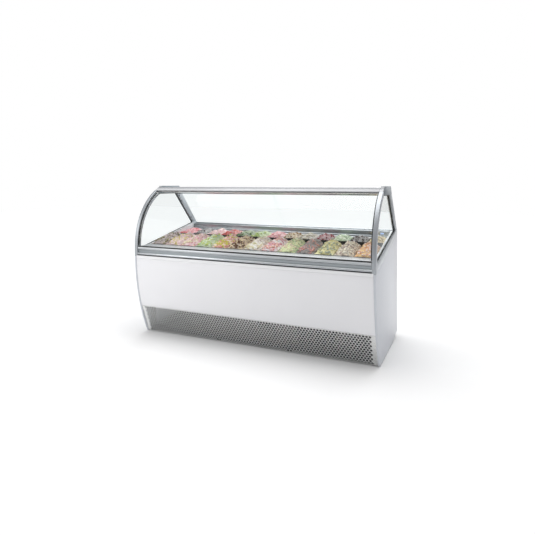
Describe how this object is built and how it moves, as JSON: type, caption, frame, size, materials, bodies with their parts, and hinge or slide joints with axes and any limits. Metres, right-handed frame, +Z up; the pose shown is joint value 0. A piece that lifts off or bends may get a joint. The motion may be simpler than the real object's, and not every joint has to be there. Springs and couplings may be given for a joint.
{
  "type": "ice cream dipping cabinet",
  "caption": "Ice cream dipping cabinet with a curved glass front, a flat canopy, a perforated toe grille, sliding rear doors and rows of lift-out pans.",
  "frame": {"origin": "on the floor, under the centre of the cabinet's bounding box", "axes": "+X to the right seen by the customer, -Y towards the customer, +Z up"},
  "size_m": [2.25, 1.03, 1.408],
  "materials": {
    "panel_grey": "satin",
    "panel_white": "satin",
    "trim_white": "satin",
    "stainless": "satin",
    "frame_steel": "satin",
    "rubber": "matte",
    "foam_tub": "satin",
    "ledge_white": "satin",
    "rack_black": "satin",
    "extrusion": "satin",
    "glass": "gloss",
    "seal": "matte",
    "canopy_white": "satin",
    "lamp_diffuser": "satin",
    "display": "gloss",
    "rocker": "gloss",
    "black_steel": "satin",
    "finned_alu": "satin",
    "fan_plastic": "satin",
    "black_plastic": "satin",
    "screw_steel": "satin",
    "ice_front_01": "matte",
    "ice_front_02": "matte",
    "ice_front_03": "matte",
    "ice_front_04": "matte",
    "ice_front_05": "matte",
    "ice_front_06": "matte",
    "ice_front_07": "matte",
    "ice_front_08": "matte",
    "ice_front_09": "matte",
    "ice_front_10": "matte",
    "ice_front_11": "matte",
    "ice_front_12": "matte",
    "ice_front_13": "matte",
    "ice_rear_01": "matte",
    "ice_rear_02": "matte",
    "ice_rear_03": "matte",
    "ice_rear_04": "matte",
    "ice_rear_05": "matte",
    "ice_rear_06": "matte",
    "ice_rear_07": "matte",
    "ice_rear_08": "matte",
    "ice_rear_09": "matte",
    "ice_rear_10": "matte",
    "ice_rear_11": "matte",
    "ice_rear_12": "matte",
    "ice_rear_13": "matte"
  },
  "bodies": {
    "cabinet": {"side_panel_left": "panel_grey", "side_panel_right": "panel_grey", "front_panel": "panel_white", "front_trim": "trim_white", "front_grille": "stainless", "rear_panel": "panel_grey", "base_frame": "frame_steel", "levelling_feet": "rubber", "tub": "foam_tub", "inner_ledge": "ledge_white", "pan_rack": "rack_black", "front_rail": "extrusion", "rear_rail": "extrusion", "side_rails": "extrusion", "end_arches": "extrusion", "side_glasses": "glass", "glass_seals": "seal", "rear_pillars": "extrusion", "canopy": "canopy_white", "canopy_caps": "extrusion", "lamp": "lamp_diffuser", "door_tracks": "extrusion", "temperature_display": "display", "compressor": "black_steel", "condenser": "finned_alu", "evaporator": "finned_alu", "power_inlet": "black_plastic", "screws": "screw_steel"},
    "front_glass_frame": {"front_glass": "glass", "glass_profile": "extrusion"},
    "left_door": {"door_left": "glass"},
    "right_door": {"door_right": "glass"},
    "fan": {"condenser_fan": "fan_plastic"},
    "switch": {"rocker_switch": "rocker"},
    "pan_front_01_body": {"pan_front_01": "ice_front_01"},
    "pan_front_02_body": {"pan_front_02": "ice_front_02"},
    "pan_front_03_body": {"pan_front_03": "ice_front_03"},
    "pan_front_04_body": {"pan_front_04": "ice_front_04"},
    "pan_front_05_body": {"pan_front_05": "ice_front_05"},
    "pan_front_06_body": {"pan_front_06": "ice_front_06"},
    "pan_front_07_body": {"pan_front_07": "ice_front_07"},
    "pan_front_08_body": {"pan_front_08": "ice_front_08"},
    "pan_front_09_body": {"pan_front_09": "ice_front_09"},
    "pan_front_10_body": {"pan_front_10": "ice_front_10"},
    "pan_front_11_body": {"pan_front_11": "ice_front_11"},
    "pan_front_12_body": {"pan_front_12": "ice_front_12"},
    "pan_front_13_body": {"pan_front_13": "ice_front_13"},
    "pan_rear_01_body": {"pan_rear_01": "ice_rear_01"},
    "pan_rear_02_body": {"pan_rear_02": "ice_rear_02"},
    "pan_rear_03_body": {"pan_rear_03": "ice_rear_03"},
    "pan_rear_04_body": {"pan_rear_04": "ice_rear_04"},
    "pan_rear_05_body": {"pan_rear_05": "ice_rear_05"},
    "pan_rear_06_body": {"pan_rear_06": "ice_rear_06"},
    "pan_rear_07_body": {"pan_rear_07": "ice_rear_07"},
    "pan_rear_08_body": {"pan_rear_08": "ice_rear_08"},
    "pan_rear_09_body": {"pan_rear_09": "ice_rear_09"},
    "pan_rear_10_body": {"pan_rear_10": "ice_rear_10"},
    "pan_rear_11_body": {"pan_rear_11": "ice_rear_11"},
    "pan_rear_12_body": {"pan_rear_12": "ice_rear_12"},
    "pan_rear_13_body": {"pan_rear_13": "ice_rear_13"}
  },
  "joints": [
    {"name": "glass_tilt", "type": "hinge", "parent": "cabinet", "child": "front_glass_frame", "pos_m": [0, -0.5085, 0.819], "axis": [1, 0, 0], "range_deg": [0, 80]},
    {"name": "left_door_slide", "type": "slide", "parent": "cabinet", "child": "left_door", "axis": [1, 0, 0], "range_m": [0, 1]},
    {"name": "right_door_slide", "type": "slide", "parent": "cabinet", "child": "right_door", "axis": [-1, 0, 0], "range_m": [0, 1]},
    {"name": "fan_spin", "type": "hinge", "parent": "cabinet", "child": "fan", "pos_m": [0.56, -0.092, 0.212], "axis": [0, -1, 0], "continuous": true},
    {"name": "switch_rock", "type": "hinge", "parent": "cabinet", "child": "switch", "pos_m": [-0.9145, 0.503, 0.3], "axis": [1, 0, 0], "range_deg": [-8, 8]},
    {"name": "pan_front_01_lift", "type": "slide", "parent": "cabinet", "child": "pan_front_01_body", "axis": [0, -0.0958, 0.9954], "range_m": [0, 0.12]},
    {"name": "pan_front_02_lift", "type": "slide", "parent": "cabinet", "child": "pan_front_02_body", "axis": [0, -0.0958, 0.9954], "range_m": [0, 0.12]},
    {"name": "pan_front_03_lift", "type": "slide", "parent": "cabinet", "child": "pan_front_03_body", "axis": [0, -0.0958, 0.9954], "range_m": [0, 0.12]},
    {"name": "pan_front_04_lift", "type": "slide", "parent": "cabinet", "child": "pan_front_04_body", "axis": [0, -0.0958, 0.9954], "range_m": [0, 0.12]},
    {"name": "pan_front_05_lift", "type": "slide", "parent": "cabinet", "child": "pan_front_05_body", "axis": [0, -0.0958, 0.9954], "range_m": [0, 0.12]},
    {"name": "pan_front_06_lift", "type": "slide", "parent": "cabinet", "child": "pan_front_06_body", "axis": [0, -0.0958, 0.9954], "range_m": [0, 0.12]},
    {"name": "pan_front_07_lift", "type": "slide", "parent": "cabinet", "child": "pan_front_07_body", "axis": [0, -0.0958, 0.9954], "range_m": [0, 0.12]},
    {"name": "pan_front_08_lift", "type": "slide", "parent": "cabinet", "child": "pan_front_08_body", "axis": [0, -0.0958, 0.9954], "range_m": [0, 0.12]},
    {"name": "pan_front_09_lift", "type": "slide", "parent": "cabinet", "child": "pan_front_09_body", "axis": [0, -0.0958, 0.9954], "range_m": [0, 0.12]},
    {"name": "pan_front_10_lift", "type": "slide", "parent": "cabinet", "child": "pan_front_10_body", "axis": [0, -0.0958, 0.9954], "range_m": [0, 0.12]},
    {"name": "pan_front_11_lift", "type": "slide", "parent": "cabinet", "child": "pan_front_11_body", "axis": [0, -0.0958, 0.9954], "range_m": [0, 0.12]},
    {"name": "pan_front_12_lift", "type": "slide", "parent": "cabinet", "child": "pan_front_12_body", "axis": [0, -0.0958, 0.9954], "range_m": [0, 0.12]},
    {"name": "pan_front_13_lift", "type": "slide", "parent": "cabinet", "child": "pan_front_13_body", "axis": [0, -0.0958, 0.9954], "range_m": [0, 0.12]},
    {"name": "pan_rear_01_lift", "type": "slide", "parent": "cabinet", "child": "pan_rear_01_body", "axis": [0, -0.0958, 0.9954], "range_m": [0, 0.12]},
    {"name": "pan_rear_02_lift", "type": "slide", "parent": "cabinet", "child": "pan_rear_02_body", "axis": [0, -0.0958, 0.9954], "range_m": [0, 0.12]},
    {"name": "pan_rear_03_lift", "type": "slide", "parent": "cabinet", "child": "pan_rear_03_body", "axis": [0, -0.0958, 0.9954], "range_m": [0, 0.12]},
    {"name": "pan_rear_04_lift", "type": "slide", "parent": "cabinet", "child": "pan_rear_04_body", "axis": [0, -0.0958, 0.9954], "range_m": [0, 0.12]},
    {"name": "pan_rear_05_lift", "type": "slide", "parent": "cabinet", "child": "pan_rear_05_body", "axis": [0, -0.0958, 0.9954], "range_m": [0, 0.12]},
    {"name": "pan_rear_06_lift", "type": "slide", "parent": "cabinet", "child": "pan_rear_06_body", "axis": [0, -0.0958, 0.9954], "range_m": [0, 0.12]},
    {"name": "pan_rear_07_lift", "type": "slide", "parent": "cabinet", "child": "pan_rear_07_body", "axis": [0, -0.0958, 0.9954], "range_m": [0, 0.12]},
    {"name": "pan_rear_08_lift", "type": "slide", "parent": "cabinet", "child": "pan_rear_08_body", "axis": [0, -0.0958, 0.9954], "range_m": [0, 0.12]},
    {"name": "pan_rear_09_lift", "type": "slide", "parent": "cabinet", "child": "pan_rear_09_body", "axis": [0, -0.0958, 0.9954], "range_m": [0, 0.12]},
    {"name": "pan_rear_10_lift", "type": "slide", "parent": "cabinet", "child": "pan_rear_10_body", "axis": [0, -0.0958, 0.9954], "range_m": [0, 0.12]},
    {"name": "pan_rear_11_lift", "type": "slide", "parent": "cabinet", "child": "pan_rear_11_body", "axis": [0, -0.0958, 0.9954], "range_m": [0, 0.12]},
    {"name": "pan_rear_12_lift", "type": "slide", "parent": "cabinet", "child": "pan_rear_12_body", "axis": [0, -0.0958, 0.9954], "range_m": [0, 0.12]},
    {"name": "pan_rear_13_lift", "type": "slide", "parent": "cabinet", "child": "pan_rear_13_body", "axis": [0, -0.0958, 0.9954], "range_m": [0, 0.12]}
  ]
}
